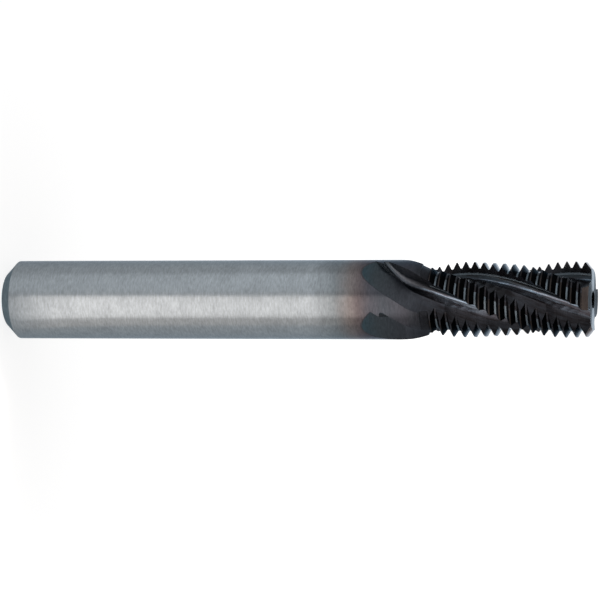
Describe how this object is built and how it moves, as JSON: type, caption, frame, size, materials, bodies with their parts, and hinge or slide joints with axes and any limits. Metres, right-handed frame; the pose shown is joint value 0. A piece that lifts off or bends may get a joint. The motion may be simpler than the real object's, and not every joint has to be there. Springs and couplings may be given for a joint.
{
  "type": "thread mill",
  "caption": "Solid carbide thread mill: plain round shank with a chamfered butt, helical flutes, relieved rings of V-shaped teeth and a coolant hole along the axis.",
  "frame": {"origin": "centre of the flat butt end of the shank, which the tool stands on", "axes": "+Z along the tool's axis, from the shank towards the cutting end"},
  "size_m": [0.01, 0.01, 0.076],
  "materials": {
    "carbide": "satin ground carbide shank, dark coated flutes and teeth"
  },
  "bodies": {
    "root": {"thread_mill": "carbide"}
  },
  "joints": []
}
